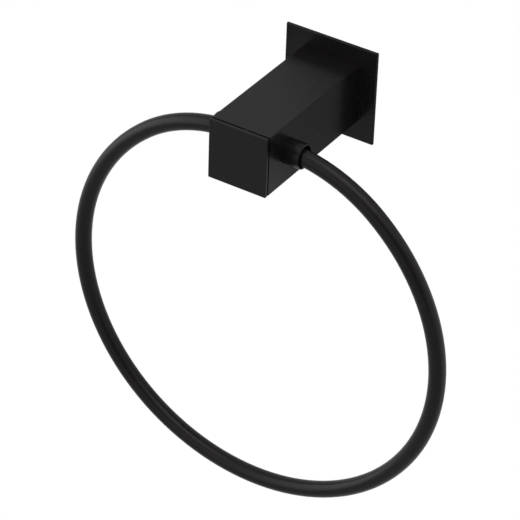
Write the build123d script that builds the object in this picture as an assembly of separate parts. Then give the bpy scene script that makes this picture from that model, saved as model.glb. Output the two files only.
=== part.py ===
from build123d import *
from math import atan2, degrees
import os

# Towel ring for a wall. A square tube stands out from a thin wall plate and ends in a separate cap.
# A round bar, bent to a hoop, swings in two collars that go through the sides of the tube.
# Millimetres. Origin: middle of the wall plate's back, on the wall. +Z is up and the front faces -Y.

# Post, a square tube
POST_WIDTH = 30.0
POST_WALL = 2.0
POST_EDGE = 0.25  # rounding of the long edges, outside and inside
PROJECTION = 77.5  # from the wall to the face of the cap

# Wall plate
PLATE_SIDE = 48.0
PLATE_THICKNESS = 1.5
PLATE_EDGE = 0.3

# Front cap: a face plate, a step that leaves a seam round it, and a skirt that plugs the tube
CAP_THICKNESS = 1.5
CAP_CORNER = 0.35
CAP_EDGE = 0.25
SEAM_WIDTH = 0.9
SEAM_DEPTH = 0.9
SKIRT_LENGTH = 5.0
SKIRT_WALL = 2.0
SKIRT_CLEARANCE = 0.05

# Ring, a round bar whose ends are bent level into the collars
BAR_DIAMETER = 8.0
RING_INSIDE = 185.0
END_SET_DOWN = 4.5  # from the top of the full circle down to the level ends
PIN_OVERHANG = 1.0  # how far each end stands out of its collar, inside the post
PIN_CHAMFER = 0.6

# Collars, turned sleeves with a close bore inside the post and a wide mouth outside it
PIVOT_SETBACK = 18.5  # from the face of the cap back to the collars' axis
COLLAR_DIAMETER = 12.0
COLLAR_STAND = 8.2  # how far a collar stands off the side of the post
COLLAR_RIM = 0.8  # wall round the wide mouth
RIM_EDGE = 0.15
BEARING_LENGTH = 8.0
BEARING_CLEARANCE = 0.08
COLLAR_CLEARANCE = 0.03  # round the collar in the wall of the post

# Wall bracket, a strip folded to a U that the post slides over
BRACKET_THICKNESS = 2.5
BRACKET_FOLD = 1.0  # inside radius of its two folds
BRACKET_DEPTH = 18.0
BRACKET_CLEARANCE = 0.5  # to each side wall of the post
BRACKET_NOSE = 3.0  # rounding of the free corners
WALL_SCREW_SPACING = 13.0
WALL_SCREW_HOLE = 4.5

# Set screw that clamps the post to the bracket from below
SET_SCREW_DIAMETER = 4.0
SET_SCREW_LENGTH = 4.0
SET_SCREW_FROM_WALL = 9.0
SET_SCREW_RECESS = 0.2
SET_SCREW_POINT = 0.6
SOCKET_ACROSS_FLATS = 2.0
SOCKET_DEPTH = 2.0
THREAD_CLEARANCE = 0.05

# Places that follow from the sizes above
POST_HALF = POST_WIDTH / 2
POST_BORE = POST_WIDTH - 2 * POST_WALL
CAP_BACK = PROJECTION - CAP_THICKNESS
POST_FRONT = CAP_BACK - SEAM_WIDTH
PIVOT_Y = PIVOT_SETBACK - PROJECTION
BEARING_OUTER = POST_HALF - POST_WALL
BEARING_INNER = BEARING_OUTER - BEARING_LENGTH
COLLAR_MOUTH = POST_HALF + COLLAR_STAND
SET_SCREW_BOTTOM = SET_SCREW_RECESS - POST_HALF
BRACKET_TOP = POST_BORE / 2
BRACKET_BOTTOM = SET_SCREW_BOTTOM + SET_SCREW_LENGTH


def outward(distance):
    """The plane parallel to the wall at this distance from it, with X to the right and Z up."""
    return Plane(origin=(0, -distance, 0), x_dir=(1, 0, 0), z_dir=(0, -1, 0))


def square(side, corner):
    """A square with rounded corners."""
    return RectangleRounded(side, side, corner)


def make_wall_plate():
    """Thin square plate, open in the middle where the bracket passes into the post."""
    plate = extrude(outward(0) * Rectangle(PLATE_SIDE, PLATE_SIDE), PLATE_THICKNESS)
    front = plate.faces().sort_by(Axis.Y)[0]
    plate = fillet(front.edges(), PLATE_EDGE)
    return plate - extrude(outward(0) * square(POST_BORE, POST_EDGE), PLATE_THICKNESS)


def make_post():
    """Square tube from the wall plate to the seam, with the collar holes and the set screw's hole."""
    section = square(POST_WIDTH, POST_EDGE) - square(POST_BORE, POST_EDGE)
    post = extrude(outward(PLATE_THICKNESS) * section, POST_FRONT - PLATE_THICKNESS)
    collar_axis = Plane(origin=(-POST_HALF, PIVOT_Y, 0), z_dir=(1, 0, 0))
    post -= extrude(collar_axis * Circle(COLLAR_DIAMETER / 2 + COLLAR_CLEARANCE), POST_WIDTH)
    screw_axis = Plane(origin=(0, -SET_SCREW_FROM_WALL, -POST_HALF), z_dir=(0, 0, 1))
    return post - extrude(screw_axis * Circle(SET_SCREW_DIAMETER / 2), POST_WALL)


def make_front_cap():
    """Face plate with softened edges, set off from the tube by a narrow step and held by its skirt."""
    face = extrude(outward(CAP_BACK) * square(POST_WIDTH, CAP_CORNER), CAP_THICKNESS)
    face = fillet(face.faces().sort_by(Axis.Y)[0].edges(), CAP_EDGE)
    step = extrude(outward(POST_FRONT) * square(POST_WIDTH - 2 * SEAM_DEPTH, CAP_CORNER), SEAM_WIDTH)
    skirt_side = POST_BORE - 2 * SKIRT_CLEARANCE
    skirt_section = square(skirt_side, CAP_CORNER) - square(skirt_side - 2 * SKIRT_WALL, CAP_CORNER)
    skirt = extrude(outward(POST_FRONT - SKIRT_LENGTH) * skirt_section, SKIRT_LENGTH)
    return face + step + skirt


def make_ring():
    """Bar along one flat path: a level pin, a bend, most of a circle, a bend and a level pin."""
    hoop = (RING_INSIDE + BAR_DIAMETER) / 2
    hoop_centre = END_SET_DOWN - hoop
    bend = hoop - (BEARING_OUTER**2 + END_SET_DOWN**2) / (2 * END_SET_DOWN)
    # A bend touches the hoop from inside, on the line through both centres.
    join = degrees(atan2(BEARING_OUTER, -bend - hoop_centre))
    pin_end = BEARING_INNER - PIN_OVERHANG
    path = Wire(
        [
            Line((pin_end, 0), (BEARING_OUTER, 0)),
            CenterArc((BEARING_OUTER, -bend), bend, 90, -join),
            CenterArc((0, hoop_centre), hoop, 90 - join, 2 * join - 360),
            CenterArc((-BEARING_OUTER, -bend), bend, 90 + join, -join),
            Line((-BEARING_OUTER, 0), (-pin_end, 0)),
        ]
    )
    path = outward(-PIVOT_Y) * path
    section = Plane(origin=path @ 0, z_dir=path % 0) * Circle(BAR_DIAMETER / 2)
    bar = sweep(section, path)
    return chamfer(bar.faces().filter_by(GeomType.PLANE).edges(), PIN_CHAMFER)


def make_collar():
    """Right-hand collar, turned about the pivot axis."""
    close_bore = BAR_DIAMETER / 2 + BEARING_CLEARANCE
    outside = COLLAR_DIAMETER / 2
    mouth = outside - COLLAR_RIM
    outline = Polyline(
        (BEARING_INNER, close_bore),
        (BEARING_OUTER, close_bore),
        (BEARING_OUTER, mouth),
        (COLLAR_MOUTH, mouth),
        (COLLAR_MOUTH, outside),
        (BEARING_INNER, outside),
        close=True,
    )
    axis = Axis((0, PIVOT_Y, 0), (1, 0, 0))
    collar = revolve(outward(-PIVOT_Y) * make_face(outline), axis)
    rim = collar.faces().sort_by(Axis.X)[-1]
    return fillet(rim.edges(), RIM_EDGE)


def make_wall_bracket():
    """Folded U: its back lies on the wall, and its two flanges point into the post, one above the other."""
    width = POST_BORE - 2 * BRACKET_CLEARANCE
    height = BRACKET_TOP - BRACKET_BOTTOM
    middle = (BRACKET_TOP + BRACKET_BOTTOM) / 2
    side = Plane(origin=(-width / 2, 0, middle), x_dir=(0, -1, 0), z_dir=(1, 0, 0))
    outer = Rectangle(BRACKET_DEPTH, height, align=(Align.MIN, Align.CENTER))
    outer = fillet(outer.vertices().group_by(Axis.X)[0], BRACKET_FOLD + BRACKET_THICKNESS)
    inside = Pos(BRACKET_THICKNESS, 0) * Rectangle(
        BRACKET_DEPTH, height - 2 * BRACKET_THICKNESS, align=(Align.MIN, Align.CENTER)
    )
    inside = fillet(inside.vertices().group_by(Axis.X)[0], BRACKET_FOLD)
    bracket = extrude(side * (outer - inside), width)
    free_ends = bracket.faces().filter_by(Axis.Y).group_by(Axis.Y)[0]
    bracket = fillet(free_ends.edges().filter_by(Axis.Z), BRACKET_NOSE)
    for side_x in (-WALL_SCREW_SPACING / 2, WALL_SCREW_SPACING / 2):
        hole = Pos(side_x, 0) * Circle(WALL_SCREW_HOLE / 2)
        bracket -= extrude(outward(0) * hole, BRACKET_THICKNESS)
    return bracket


def make_set_screw():
    """Headless screw with a hexagon socket below and a chamfered point against the bracket's lower flange."""
    base = Plane(origin=(0, -SET_SCREW_FROM_WALL, SET_SCREW_BOTTOM), z_dir=(0, 0, 1))
    screw = extrude(base * Circle(SET_SCREW_DIAMETER / 2 - THREAD_CLEARANCE), SET_SCREW_LENGTH)
    screw = chamfer(screw.faces().sort_by(Axis.Z)[-1].edges(), SET_SCREW_POINT)
    socket = RegularPolygon(SOCKET_ACROSS_FLATS / 2, 6, major_radius=False)
    return screw - extrude(base * socket, SOCKET_DEPTH)


collar_right = make_collar()
pieces = {
    "wall_plate": make_wall_plate(),
    "post": make_post(),
    "front_cap": make_front_cap(),
    "collar_right": collar_right,
    "collar_left": mirror(collar_right, Plane.YZ),
    "ring": make_ring(),
    "wall_bracket": make_wall_bracket(),
    "set_screw": make_set_screw(),
}

os.makedirs("parts", exist_ok=True)
for name, piece in pieces.items():
    export_step(piece, f"parts/{name}.step")
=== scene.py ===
import bmesh
import bpy
from math import cos, pi, radians, sin
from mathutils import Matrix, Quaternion, Vector


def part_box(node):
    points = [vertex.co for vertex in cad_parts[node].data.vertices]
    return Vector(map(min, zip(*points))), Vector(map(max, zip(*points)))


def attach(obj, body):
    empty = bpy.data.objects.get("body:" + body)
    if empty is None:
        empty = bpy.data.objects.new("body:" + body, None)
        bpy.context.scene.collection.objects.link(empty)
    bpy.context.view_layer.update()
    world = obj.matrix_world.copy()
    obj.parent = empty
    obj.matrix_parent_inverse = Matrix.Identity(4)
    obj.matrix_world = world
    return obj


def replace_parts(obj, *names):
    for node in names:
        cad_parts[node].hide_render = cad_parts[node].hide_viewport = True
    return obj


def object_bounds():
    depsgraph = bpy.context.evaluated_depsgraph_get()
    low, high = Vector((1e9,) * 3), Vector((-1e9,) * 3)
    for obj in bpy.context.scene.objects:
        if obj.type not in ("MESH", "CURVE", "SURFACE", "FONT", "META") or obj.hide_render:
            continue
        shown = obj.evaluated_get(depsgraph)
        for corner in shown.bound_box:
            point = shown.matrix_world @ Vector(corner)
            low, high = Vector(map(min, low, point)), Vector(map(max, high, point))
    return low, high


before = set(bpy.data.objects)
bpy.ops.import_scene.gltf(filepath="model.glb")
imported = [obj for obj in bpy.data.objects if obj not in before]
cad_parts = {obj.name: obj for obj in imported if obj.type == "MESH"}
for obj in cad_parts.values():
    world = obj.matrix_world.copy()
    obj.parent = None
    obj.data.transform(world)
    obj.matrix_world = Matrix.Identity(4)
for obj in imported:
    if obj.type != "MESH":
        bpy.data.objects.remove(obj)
cad_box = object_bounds()

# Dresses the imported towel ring, adds the set screw's thread and a bead of coat, and puts a white studio round it.
# Sizes are in metres and angles in degrees. Azimuth 0 is in front of the part, and 90 to its right.
MM = 0.001

# Camera, as the photograph was taken
VIEW_AZIMUTH = 31.83
VIEW_ELEVATION = 35.1
VIEW_ROLL = 2.01
VIEW_DISTANCE = 1304 * MM
VIEW_TARGET = Vector((-8.12, -42.66, -77.13)) * MM
FOCAL_PIXELS = 2833.0
IMAGE_PIXELS = 520
SENSOR_WIDTH = 36.0  # in millimetres, as a camera has it

# Floor and backdrop, each with the level of light that reflections see, where 1 is white
FLOOR_SIDE = 13.3
FLOOR_DROP = 1500 * MM  # below the ring, so that the part can be seen from below too
FLOOR_LIGHT = 0.59
BACKDROP_SIDE = 3.0
BACKDROP_OPENING = 46 * MM
BACKDROP_LIGHT = 0.67
PAINTED_SHADE_MIDDLE = Vector((34, -6, 0)) * MM  # painted shade of the part on the backdrop, which falls to the right and down
PAINTED_SHADE_REACH = (26 * MM, 91 * MM)  # from there: where the painted shade is full, and where it has gone
PAINTED_SHADE_LEVEL = 0.25
PAINTED_LIGHT_TURN = 30.0  # the way to the backdrop's side with painted light, turned up from +X
PAINTED_LIGHT_REACH = (30 * MM, 105 * MM)  # that way: where the painted light starts to get brighter, and where it is brightest
PAINTED_LIGHT_LEVEL = 1.0

# Softboxes, turned to the part
SOFTBOX_DISTANCE = 1.7
SIDE_BOX_SIZE = 3.57
SIDE_BOX_AZIMUTH = -65.0
SIDE_BOX_ELEVATION = 15.7
SIDE_BOX_WATTS = 61.0
TOP_BOX_SIZE = 3.0
TOP_BOX_AZIMUTH = 85.0
TOP_BOX_ELEVATION = 72.0
TOP_BOX_WATTS = 60.0

# Room, white all round but for a side behind the camera that is left dark
DIM_AZIMUTH = 44.1
DIM_ELEVATION = 15.7
DIM_REACH = (9.3, 51.5)  # from its middle: where it is darkest, and where it has gone
DIM_LIGHT = 0.22
ROOM_LIGHT = 0.88  # the share of its white that lights the part

# Black powder coat
COAT_GRIT = 0.9 * MM  # the powder's own grain is about 0.1 mm, too fine to show, so it is drawn coarser
COAT_PEEL = 2.6 * MM
COAT_RELIEF = 0.005 * MM
COAT_ROUGHNESS = (0.23, 0.29)
COAT_SPECULAR = 0.192
NIB_SPACING = 22 * MM
NIB_RADIUS = 0.25 * MM
NIB_CORE = 0.15 * MM

# Zinc plate and black oxide
ZINC_CLOUD = 4.0 * MM
ZINC_RELIEF = 0.004 * MM
ZINC_ROUGHNESS = (0.26, 0.46)
ROLLING_LINE = 0.4 * MM
ROLLING_STRETCH = 25.0  # how many times longer than wide the rolling lines are
OXIDE_CLOUD = 0.8 * MM
OXIDE_ROUGHNESS = (0.28, 0.5)

# New pieces: points that are merged, and the bend past which an edge stays sharp
MERGE_DISTANCE = 0.001 * MM
SHARP_ANGLE = 35.0

# Set screw with its real thread, where the solid one is
SCREW_PITCH = 0.7 * MM
THREAD_DEPTH = 0.43 * MM
THREAD_FOOT = 0.85  # widths of the ridge at its foot and its crest, as shares of the pitch
THREAD_CREST = 0.125
THREAD_STEPS = 40  # in one turn
THREAD_BITE = 0.03 * MM  # how far the foot of the ridge goes into the core
SCREW_POINT = 0.6 * MM
SCREW_CHAMFER = 0.2 * MM
SCREW_SIDES = 48
SOCKET_FLATS = 2.0 * MM
SOCKET_DEPTH = 2.0 * MM

# Bead of coat that bridges the seam behind the cap, on top
BEAD_X = 3.0 * MM
BEAD_FROM = -75.05 * MM  # a little inside the end of the post
BEAD_TO = -76.05 * MM  # a little inside the back of the cap
SEAM_FLOOR = 14.1 * MM
BEAD_HALF_WIDTH = 0.45 * MM
BEAD_HEIGHT = 0.55 * MM
BEAD_FLARE = 0.25 * MM  # more of both where it meets the two walls
BEAD_LOOPS = 9
BEAD_POINTS = 13  # round each loop

scene = bpy.context.scene
scene.view_settings.view_transform = "Standard"


def paint(hex_code):
    """An sRGB hex colour as linear red, green, blue and alpha."""
    channels = [int(hex_code[i:i + 2], 16) / 255 for i in (1, 3, 5)]
    linear = [c / 12.92 if c <= 0.04045 else ((c + 0.055) / 1.055) ** 2.4 for c in channels]
    return (*linear, 1.0)


def add_node(tree, kind, inputs=None, links=None, **properties):
    """Adds one node to a tree: its properties by name, its input values, and links from other nodes' outputs."""
    node = tree.nodes.new(kind)
    for name, value in properties.items():
        setattr(node, name, value)
    for socket, value in (inputs or {}).items():
        node.inputs[socket].default_value = value
    for socket, source in (links or {}).items():
        tree.links.new(source, node.inputs[socket])
    return node


def start_material(name):
    """A new material and its emptied node tree."""
    material = bpy.data.materials.new(name)
    material.use_nodes = True
    material.node_tree.nodes.clear()
    return material, material.node_tree


def toward(azimuth, elevation):
    """The unit vector from the part to something at this azimuth and elevation."""
    a, e = radians(azimuth), radians(elevation)
    return Vector((sin(a) * cos(e), -cos(a) * cos(e), sin(e)))


def make_powder_coat():
    # Black polyester powder, baked on: a smooth satin black film that softly mirrors its own parts and the wall.
    # It has a fine grit, patches a little warmer and cooler, gloss that is a little uneven, and here and there a pale
    # nib of dust under the film.
    material, tree = start_material("black_powder_coat")
    place = add_node(tree, "ShaderNodeTexCoord").outputs["Object"]
    grit = add_node(tree, "ShaderNodeTexNoise", {"Scale": 1 / COAT_GRIT, "Detail": 2.0}, {"Vector": place})
    peel = add_node(tree, "ShaderNodeTexNoise", {"Scale": 1 / COAT_PEEL, "Detail": 1.0}, {"Vector": place})
    nibs = add_node(tree, "ShaderNodeTexVoronoi", {"Scale": 1 / NIB_SPACING}, {"Vector": place})
    nib = add_node(tree, "ShaderNodeMapRange",
                   {"From Min": NIB_CORE / NIB_SPACING, "From Max": NIB_RADIUS / NIB_SPACING,
                    "To Min": 1.0, "To Max": 0.0},
                   {"Value": nibs.outputs["Distance"]})
    film = add_node(tree, "ShaderNodeValToRGB", links={"Fac": peel.outputs["Fac"]})
    for stop, position, tone in zip(film.color_ramp.elements, (0.35, 0.65), ("#0F1012", "#141011")):
        stop.position, stop.color = position, paint(tone)
    grain = add_node(tree, "ShaderNodeMapRange", {"From Min": 0.4, "From Max": 0.8},
                     {"Value": grit.outputs["Fac"]})
    grainy = add_node(tree, "ShaderNodeMix", {"B": paint("#171516")},
                      {"Factor": grain.outputs["Result"], "A": film.outputs["Color"]}, data_type="RGBA")
    colour = add_node(tree, "ShaderNodeMix", {"B": paint("#5C5A57")},
                      {"Factor": nib.outputs["Result"], "A": grainy.outputs["Result"]}, data_type="RGBA")
    gloss = add_node(tree, "ShaderNodeMapRange", {"To Min": COAT_ROUGHNESS[0], "To Max": COAT_ROUGHNESS[1]},
                     {"Value": peel.outputs["Fac"]})
    bump = add_node(tree, "ShaderNodeBump", {"Strength": 1.0, "Distance": COAT_RELIEF},
                    {"Height": grit.outputs["Fac"]})
    shader = add_node(tree, "ShaderNodeBsdfPrincipled",
                      {"Specular IOR Level": COAT_SPECULAR, "Specular Tint": paint("#FFFAFC")},
                      {"Base Color": colour.outputs["Result"], "Roughness": gloss.outputs["Result"],
                       "Normal": bump.outputs["Normal"]})
    add_node(tree, "ShaderNodeOutputMaterial", links={"Surface": shader.outputs["BSDF"]})
    return material


def make_zinc_plate():
    # Bright zinc on rolled steel strip: a cool pale metal, softly clouded, with fine lines along the strip.
    material, tree = start_material("zinc_plated_steel")
    place = add_node(tree, "ShaderNodeTexCoord").outputs["Object"]
    cloud = add_node(tree, "ShaderNodeTexNoise", {"Scale": 1 / ZINC_CLOUD, "Detail": 3.0}, {"Vector": place})
    along = add_node(tree, "ShaderNodeMapping", {"Scale": (1.0, 1 / ROLLING_STRETCH, 1 / ROLLING_STRETCH)},
                     {"Vector": place})
    lines = add_node(tree, "ShaderNodeTexNoise", {"Scale": 1 / ROLLING_LINE, "Detail": 2.0},
                     {"Vector": along.outputs["Vector"]})
    tint = add_node(tree, "ShaderNodeValToRGB", links={"Fac": cloud.outputs["Fac"]})
    for stop, position, tone in zip(tint.color_ramp.elements, (0.3, 0.7), ("#A3AAB0", "#C2C7CA")):
        stop.position, stop.color = position, paint(tone)
    gloss = add_node(tree, "ShaderNodeMapRange", {"To Min": ZINC_ROUGHNESS[0], "To Max": ZINC_ROUGHNESS[1]},
                     {"Value": lines.outputs["Fac"]})
    bump = add_node(tree, "ShaderNodeBump", {"Strength": 1.0, "Distance": ZINC_RELIEF},
                    {"Height": lines.outputs["Fac"]})
    shader = add_node(tree, "ShaderNodeBsdfPrincipled", {"Metallic": 1.0},
                      {"Base Color": tint.outputs["Color"], "Roughness": gloss.outputs["Result"],
                       "Normal": bump.outputs["Normal"]})
    add_node(tree, "ShaderNodeOutputMaterial", links={"Surface": shader.outputs["BSDF"]})
    return material


def make_black_oxide():
    # Blackened and oiled alloy steel: a dark grey metal, uneven between duller and oilier spots.
    material, tree = start_material("black_oxide_steel")
    place = add_node(tree, "ShaderNodeTexCoord").outputs["Object"]
    cloud = add_node(tree, "ShaderNodeTexNoise", {"Scale": 1 / OXIDE_CLOUD, "Detail": 3.0}, {"Vector": place})
    tint = add_node(tree, "ShaderNodeValToRGB", links={"Fac": cloud.outputs["Fac"]})
    for stop, position, tone in zip(tint.color_ramp.elements, (0.3, 0.7), ("#2E2E32", "#4A4947")):
        stop.position, stop.color = position, paint(tone)
    gloss = add_node(tree, "ShaderNodeMapRange", {"To Min": OXIDE_ROUGHNESS[0], "To Max": OXIDE_ROUGHNESS[1]},
                     {"Value": cloud.outputs["Fac"]})
    shader = add_node(tree, "ShaderNodeBsdfPrincipled", {"Metallic": 1.0},
                      {"Base Color": tint.outputs["Color"], "Roughness": gloss.outputs["Result"]})
    add_node(tree, "ShaderNodeOutputMaterial", links={"Surface": shader.outputs["BSDF"]})
    return material


def dress(material, *nodes):
    """Gives these nodes of the part this material."""
    for name in nodes:
        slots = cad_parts[name].data.materials
        slots.clear()
        slots.append(material)


def make_piece(name, solid, material):
    """Turns a bmesh into a piece of the holder, smooth but for its sharp edges."""
    bmesh.ops.remove_doubles(solid, verts=solid.verts, dist=MERGE_DISTANCE)
    bmesh.ops.recalc_face_normals(solid, faces=solid.faces)
    mesh = bpy.data.meshes.new(name)
    solid.to_mesh(mesh)
    solid.free()
    mesh.shade_smooth()
    mesh.set_sharp_from_angle(angle=radians(SHARP_ANGLE))
    mesh.materials.append(material)
    piece = bpy.data.objects.new(name, mesh)
    scene.collection.objects.link(piece)
    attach(piece, "holder")
    return piece


def add_loft(solid, loops):
    """Adds a closed solid that runs through these loops of points, with a flat face at each end."""
    rows = [[solid.verts.new(point) for point in loop] for loop in loops]
    for row, following in zip(rows, rows[1:]):
        for i in range(len(row)):
            j = (i + 1) % len(row)
            solid.faces.new((row[i], row[j], following[j], following[i]))
    solid.faces.new(rows[0])
    solid.faces.new(rows[-1])


def make_thread_tree(material):
    """Node tree of a right-hand screw thread that climbs along +Z from the origin."""
    tree = bpy.data.node_groups.new("screw_thread", "GeometryNodeTree")
    for name in ("Length", "Pitch", "Mean Radius", "Depth"):
        tree.interface.new_socket(name, in_out="INPUT", socket_type="NodeSocketFloat")
    tree.interface.new_socket("Thread", in_out="OUTPUT", socket_type="NodeSocketGeometry")
    sizes = add_node(tree, "NodeGroupInput").outputs
    turns = add_node(tree, "ShaderNodeMath", links={0: sizes["Length"], 1: sizes["Pitch"]}, operation="DIVIDE")
    foot = add_node(tree, "ShaderNodeMath", {1: THREAD_FOOT}, {0: sizes["Pitch"]}, operation="MULTIPLY")
    crest = add_node(tree, "ShaderNodeMath", {1: THREAD_CREST}, {0: sizes["Pitch"]}, operation="MULTIPLY")
    path = add_node(tree, "GeometryNodeCurveSpiral", {"Resolution": THREAD_STEPS, "Reverse": True},
                    {"Rotations": turns.outputs[0], "Start Radius": sizes["Mean Radius"],
                     "End Radius": sizes["Mean Radius"], "Height": sizes["Length"]})
    upright = add_node(tree, "GeometryNodeSetCurveNormal", links={"Curve": path.outputs["Curve"]}, mode="Z_UP")
    ridge = add_node(tree, "GeometryNodeCurvePrimitiveQuadrilateral", {"Offset": 0.0},
                     {"Bottom Width": foot.outputs[0], "Top Width": crest.outputs[0], "Height": sizes["Depth"]},
                     mode="TRAPEZOID")
    outward = add_node(tree, "GeometryNodeTransform", {"Rotation": (0.0, 0.0, -pi / 2)},
                       {"Geometry": ridge.outputs["Curve"]})
    swept = add_node(tree, "GeometryNodeCurveToMesh", {"Fill Caps": True},
                     {"Curve": upright.outputs["Curve"], "Profile Curve": outward.outputs["Geometry"]})
    real = add_node(tree, "GeometryNodeRealizeInstances", links={"Geometry": swept.outputs["Mesh"]})
    dressed = add_node(tree, "GeometryNodeSetMaterial", {"Material": material}, {"Geometry": real.outputs["Geometry"]})
    add_node(tree, "NodeGroupOutput", links={"Thread": dressed.outputs["Geometry"]})
    return tree


def make_thread(material, **sizes):
    """The thread as a plain mesh."""
    maker = bpy.data.objects.new("thread", bpy.data.meshes.new("thread"))
    scene.collection.objects.link(maker)
    tree = make_thread_tree(material)
    modifier = maker.modifiers.new("thread", "NODES")
    modifier.node_group = tree
    for item in tree.interface.items_tree:
        if item.in_out == "INPUT":
            modifier[item.identifier] = sizes[item.name.lower().replace(" ", "_")]
    mesh = bpy.data.meshes.new_from_object(maker.evaluated_get(bpy.context.evaluated_depsgraph_get()))
    bpy.data.objects.remove(maker)
    return mesh


def make_set_screw(material):
    """Headless screw with its thread, a hexagon socket below and a chamfered point above."""
    low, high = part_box("set_screw")
    length = high.z - low.z
    crest = (high.x - low.x) / 2
    core = crest - THREAD_DEPTH + THREAD_BITE
    angles = [radians(360 / SCREW_SIDES * i) for i in range(SCREW_SIDES)]

    def circle(radius, z):
        return [(radius * cos(a), radius * sin(a), z) for a in angles]

    def hexagon(z):
        radii = [SOCKET_FLATS / 2 / cos((a + pi / 6) % (pi / 3) - pi / 6) for a in angles]
        return [(r * cos(a), r * sin(a), z) for r, a in zip(radii, angles)]

    solid = bmesh.new()
    solid.from_mesh(make_thread(material, length=length - 2 * SCREW_POINT, pitch=SCREW_PITCH,
                                mean_radius=crest - THREAD_DEPTH / 2, depth=THREAD_DEPTH))
    bmesh.ops.translate(solid, verts=solid.verts, vec=(0, 0, SCREW_POINT))
    add_loft(solid, [hexagon(SOCKET_DEPTH), hexagon(0), circle(core - SCREW_CHAMFER, 0), circle(core, SCREW_CHAMFER),
                     circle(core, length - SCREW_POINT), circle(core - SCREW_POINT / 2, length)])
    bmesh.ops.translate(solid, verts=solid.verts, vec=((low.x + high.x) / 2, (low.y + high.y) / 2, low.z))
    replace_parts(make_piece("threaded_set_screw", solid, material), "set_screw")


def make_coat_bead(material):
    """A bead of coat between the cap and the post, thinner in the middle of the seam than at its two walls."""
    arc = [pi * j / (BEAD_POINTS - 1) for j in range(BEAD_POINTS)]
    loops = []
    for i in range(BEAD_LOOPS):
        t = i / (BEAD_LOOPS - 1)
        flare = BEAD_FLARE * (2 * t - 1) ** 2
        half, height = BEAD_HALF_WIDTH + flare, BEAD_HEIGHT + flare
        y = BEAD_FROM + (BEAD_TO - BEAD_FROM) * t
        loops.append([(BEAD_X + half * cos(a), y, SEAM_FLOOR + height * sin(a)) for a in arc])
    solid = bmesh.new()
    add_loft(solid, loops)
    make_piece("coat_bead", solid, material)


def make_sheet(name, side, material, opening=0.0):
    """A square sheet in the XY plane, facing +Z, that belongs to the studio and not to the part."""
    corners = [(-1, -1), (1, -1), (1, 1), (-1, 1)]
    outer = [(x * side / 2, y * side / 2, 0) for x, y in corners]
    inner = [(x * opening / 2, y * opening / 2, 0) for x, y in corners] if opening else []
    faces = [(i, (i + 1) % 4, (i + 1) % 4 + 4, i + 4) for i in range(4)] if opening else [(0, 1, 2, 3)]
    mesh = bpy.data.meshes.new(name)
    mesh.from_pydata(outer + inner, [], faces)
    mesh.materials.append(material)
    sheet = bpy.data.objects.new(name, mesh)
    scene.collection.objects.link(sheet)
    return sheet


def start_pale(name, hex_code):
    """A matt material that reflections see as a plain white level, and the shader whose strength is that level."""
    material, tree = start_material(name)
    matt = add_node(tree, "ShaderNodeBsdfDiffuse", {"Color": paint(hex_code)})
    white = add_node(tree, "ShaderNodeEmission", {"Color": paint("#FFFFFF")})
    path = add_node(tree, "ShaderNodeLightPath")
    mirrored = add_node(tree, "ShaderNodeMath", links={0: path.outputs["Is Glossy Ray"],
                                                       1: path.outputs["Is Transmission Ray"]}, operation="MAXIMUM")
    mixed = add_node(tree, "ShaderNodeMixShader", links={0: mirrored.outputs[0], 1: matt.outputs["BSDF"],
                                                         2: white.outputs["Emission"]})
    add_node(tree, "ShaderNodeOutputMaterial", links={"Surface": mixed.outputs["Shader"]})
    material.cycles.emission_sampling = "NONE"
    return material, white


def make_floor():
    """Pale floor in front of the wall plane, well below the part."""
    material, white = start_pale("pale_floor", "#E6E6E6")
    white.inputs["Strength"].default_value = FLOOR_LIGHT
    floor = make_sheet("floor", FLOOR_SIDE, material)
    floor.location = (0, -FLOOR_SIDE / 2, cad_box[0].z - FLOOR_DROP)


def make_backdrop():
    """Pale sheet on the wall plane. The level that reflections see has painted shade round the part and painted light
    on its upper right. It is open behind the plate and hidden from the camera."""
    material, white = start_pale("pale_backdrop", "#E0E0E0")
    tree = material.node_tree
    place = add_node(tree, "ShaderNodeTexCoord").outputs["Object"]
    # Painted light: the level that reflections see rises toward the backdrop's upper right
    turn = radians(PAINTED_LIGHT_TURN)
    along = add_node(tree, "ShaderNodeVectorMath", {1: (cos(turn), sin(turn), 0)}, {0: place},
                     operation="DOT_PRODUCT")
    painted_light_level = add_node(tree, "ShaderNodeMapRange", {"From Min": PAINTED_LIGHT_REACH[0], "From Max": PAINTED_LIGHT_REACH[1],
                                                     "To Min": BACKDROP_LIGHT, "To Max": PAINTED_LIGHT_LEVEL},
                        {"Value": along.outputs["Value"]}, interpolation_type="SMOOTHSTEP")
    # Painted shade: the level that reflections see drops round the part, most to its right and below it
    away = add_node(tree, "ShaderNodeVectorMath", {1: PAINTED_SHADE_MIDDLE}, {0: place}, operation="DISTANCE")
    level = add_node(tree, "ShaderNodeMapRange", {"From Min": PAINTED_SHADE_REACH[0], "From Max": PAINTED_SHADE_REACH[1],
                                                  "To Min": PAINTED_SHADE_LEVEL},
                     {"Value": away.outputs["Value"], "To Max": painted_light_level.outputs["Result"]},
                     interpolation_type="SMOOTHSTEP")
    tree.links.new(level.outputs["Result"], white.inputs["Strength"])
    backdrop = make_sheet("backdrop", BACKDROP_SIDE, material, BACKDROP_OPENING)
    backdrop.rotation_euler = (radians(90), 0, 0)
    backdrop.visible_camera = False


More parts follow.
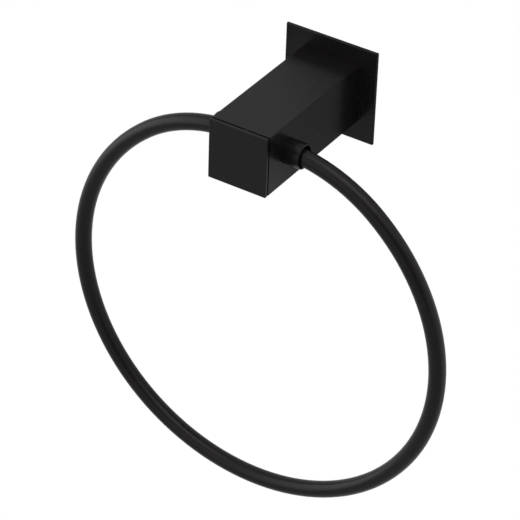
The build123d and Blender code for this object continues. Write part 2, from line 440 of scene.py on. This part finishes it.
def make_softbox(name, size, azimuth, elevation, watts):
    """Square lamp, turned to the part, that is brightest in its middle and dims to its edge."""
    lamp = bpy.data.lights.new(name, "AREA")
    lamp.size = size
    lamp.energy = watts
    lamp.use_nodes = True
    tree = lamp.node_tree
    tree.nodes.clear()
    place = add_node(tree, "ShaderNodeNewGeometry").outputs["Parametric"]
    off_middle = add_node(tree, "ShaderNodeVectorMath", {1: (0.5, 0.5, 0.0)}, {0: place}, operation="DISTANCE")
    bright = add_node(tree, "ShaderNodeMapRange", {"From Max": 0.5, "To Min": 1.0, "To Max": 0.0},
                      {"Value": off_middle.outputs["Value"]}, interpolation_type="SMOOTHSTEP")
    glow = add_node(tree, "ShaderNodeEmission", links={"Strength": bright.outputs["Result"]})
    add_node(tree, "ShaderNodeOutputLight", links={"Surface": glow.outputs["Emission"]})
    away = toward(azimuth, elevation)
    softbox = bpy.data.objects.new(name, lamp)
    softbox.location = VIEW_TARGET + away * SOFTBOX_DISTANCE
    softbox.rotation_euler = away.to_track_quat("Z", "Y").to_euler()
    softbox.visible_camera = False
    scene.collection.objects.link(softbox)


def make_room():
    """Even light from all round, dimmer behind the camera. The camera sees white, and so do reflections elsewhere."""
    world = bpy.data.worlds.new("white_room")
    world.use_nodes = True
    tree = world.node_tree
    tree.nodes.clear()
    path = add_node(tree, "ShaderNodeLightPath")
    look = add_node(tree, "ShaderNodeTexCoord").outputs["Generated"]
    near = add_node(tree, "ShaderNodeVectorMath", {1: toward(DIM_AZIMUTH, DIM_ELEVATION)}, {0: look},
                    operation="DOT_PRODUCT")
    angle = add_node(tree, "ShaderNodeMath", links={0: near.outputs["Value"]}, operation="ARCCOSINE")
    level = add_node(tree, "ShaderNodeMapRange", {"From Min": radians(DIM_REACH[0]), "From Max": radians(DIM_REACH[1]),
                                                  "To Min": DIM_LIGHT, "To Max": 1.0},
                     {"Value": angle.outputs["Value"]}, interpolation_type="SMOOTHSTEP")
    soft = add_node(tree, "ShaderNodeMath", {1: ROOM_LIGHT}, {0: level.outputs["Result"]}, operation="MULTIPLY")
    mirrored = add_node(tree, "ShaderNodeMath", links={0: path.outputs["Is Glossy Ray"],
                                                       1: path.outputs["Is Transmission Ray"]}, operation="MAXIMUM")
    strength = add_node(tree, "ShaderNodeMix", links={"Factor": mirrored.outputs[0], "A": soft.outputs[0],
                                                      "B": level.outputs["Result"]})
    seen = add_node(tree, "ShaderNodeMix", {"B": 1.0}, {"Factor": path.outputs["Is Camera Ray"],
                                                        "A": strength.outputs["Result"]})
    white = add_node(tree, "ShaderNodeBackground", {"Color": paint("#FFFFFF")}, {"Strength": seen.outputs["Result"]})
    add_node(tree, "ShaderNodeOutputWorld", links={"Surface": white.outputs["Background"]})
    scene.world = world


def make_camera():
    """Camera with the photograph's viewing angle and frame."""
    back = toward(VIEW_AZIMUTH, VIEW_ELEVATION)
    camera = bpy.data.objects.new("camera", bpy.data.cameras.new("camera"))
    camera.data.sensor_width = SENSOR_WIDTH
    camera.data.lens = FOCAL_PIXELS / IMAGE_PIXELS * SENSOR_WIDTH
    camera.location = VIEW_TARGET + back * VIEW_DISTANCE
    camera.rotation_mode = "QUATERNION"
    camera.rotation_quaternion = (-back).to_track_quat("-Z", "Y") @ Quaternion((0, 0, 1), radians(VIEW_ROLL))
    scene.collection.objects.link(camera)
    scene.camera = camera


coat = make_powder_coat()
oxide = make_black_oxide()
dress(coat, "wall_plate", "post", "front_cap", "collar_right", "collar_left", "ring")
dress(make_zinc_plate(), "wall_bracket")
dress(oxide, "set_screw")
make_set_screw(oxide)
make_coat_bead(coat)
make_floor()
make_backdrop()
make_softbox("side_softbox", SIDE_BOX_SIZE, SIDE_BOX_AZIMUTH, SIDE_BOX_ELEVATION, SIDE_BOX_WATTS)
make_softbox("top_softbox", TOP_BOX_SIZE, TOP_BOX_AZIMUTH, TOP_BOX_ELEVATION, TOP_BOX_WATTS)
make_room()
make_camera()
